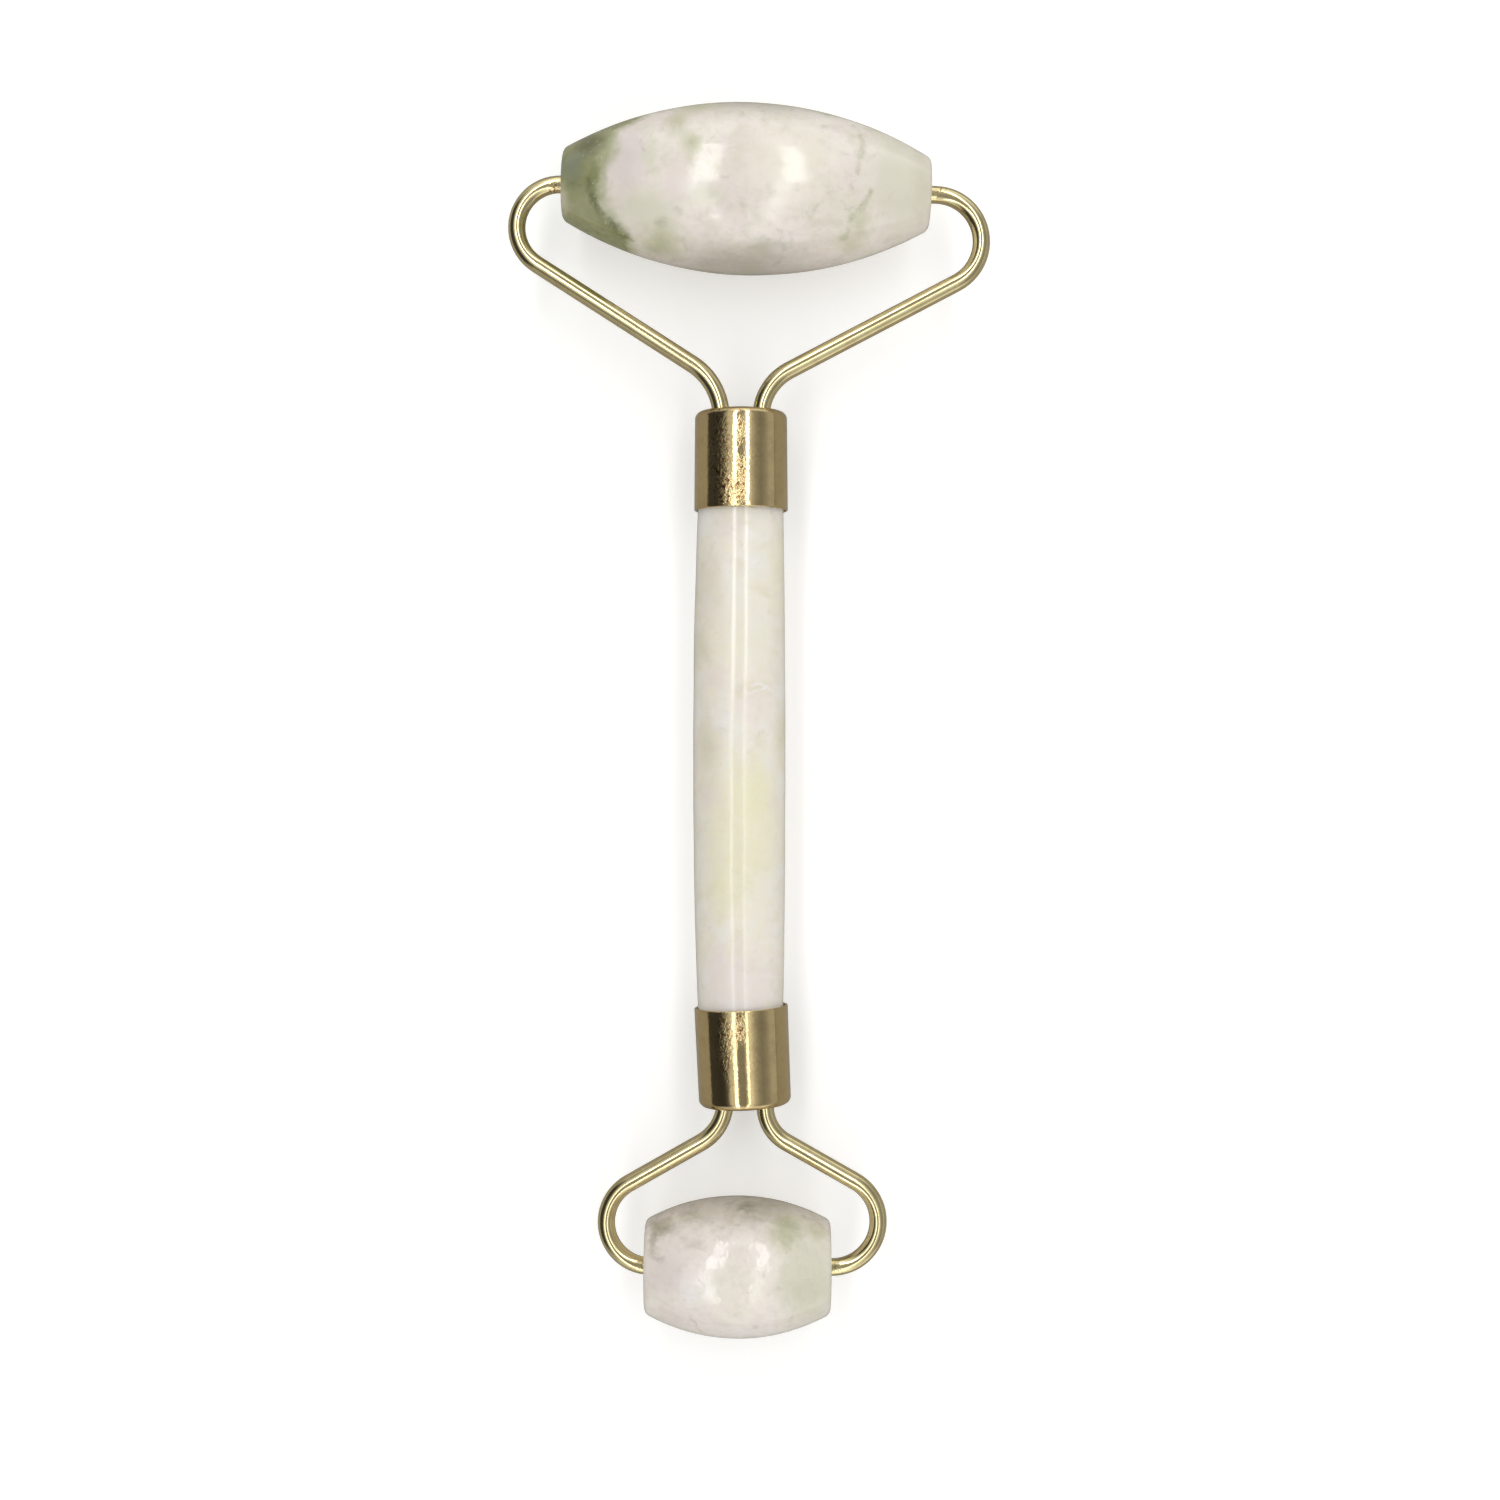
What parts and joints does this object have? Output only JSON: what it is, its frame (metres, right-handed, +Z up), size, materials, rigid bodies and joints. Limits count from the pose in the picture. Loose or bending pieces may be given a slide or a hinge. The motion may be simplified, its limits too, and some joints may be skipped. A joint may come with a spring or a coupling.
{
  "type": "face roller",
  "caption": "Double-ended face roller: a jade handle with a ferrule and a bent wire fork at each end, carrying a wide barrel stone and a narrow barrel stone that spin freely.",
  "frame": {"origin": "on the table, below the middle of the roller's box, as it lies on its two stones", "axes": "+Y along the handle towards the wide stone, +Z up from the table, +X to the right, along the stones' axles"},
  "size_m": [0.0566, 0.1448, 0.0198],
  "materials": {
    "jade_light": "polished, cloudy pinkish ivory with green patches",
    "jade_handle": "polished, ivory with pale green and pink patches",
    "champagne_gold": "pale gold plate, bright with a fine grain",
    "nylon": "natural white nylon",
    "epoxy": "cured clear amber adhesive",
    "braze": "dull braze bead"
  },
  "bodies": {
    "handle_frame": {"jade_handle": "jade_handle", "large_ferrule": "champagne_gold", "small_ferrule": "champagne_gold", "large_wire_fork": "champagne_gold", "small_wire_fork": "champagne_gold", "large_fork_braze": "braze", "small_fork_braze": "braze", "large_ferrule_epoxy": "epoxy", "small_ferrule_epoxy": "epoxy"},
    "large_roller": {"large_roller_stone": "jade_light", "large_roller_bush_left": "nylon", "large_roller_bush_right": "nylon"},
    "small_roller": {"small_roller_stone": "jade_light", "small_roller_bush_left": "nylon", "small_roller_bush_right": "nylon"}
  },
  "joints": [
    {"name": "large_roller_spin", "type": "hinge", "parent": "handle_frame", "child": "large_roller", "pos_m": [-0.00032, 0.06247, 0.00988], "axis": [0.9996, -0.0279, -0.0004], "continuous": true},
    {"name": "small_roller_spin", "type": "hinge", "parent": "handle_frame", "child": "small_roller", "pos_m": [-0.00134, -0.06416, 0.0082], "axis": [1, -0.0052, -0.0001], "continuous": true}
  ]
}
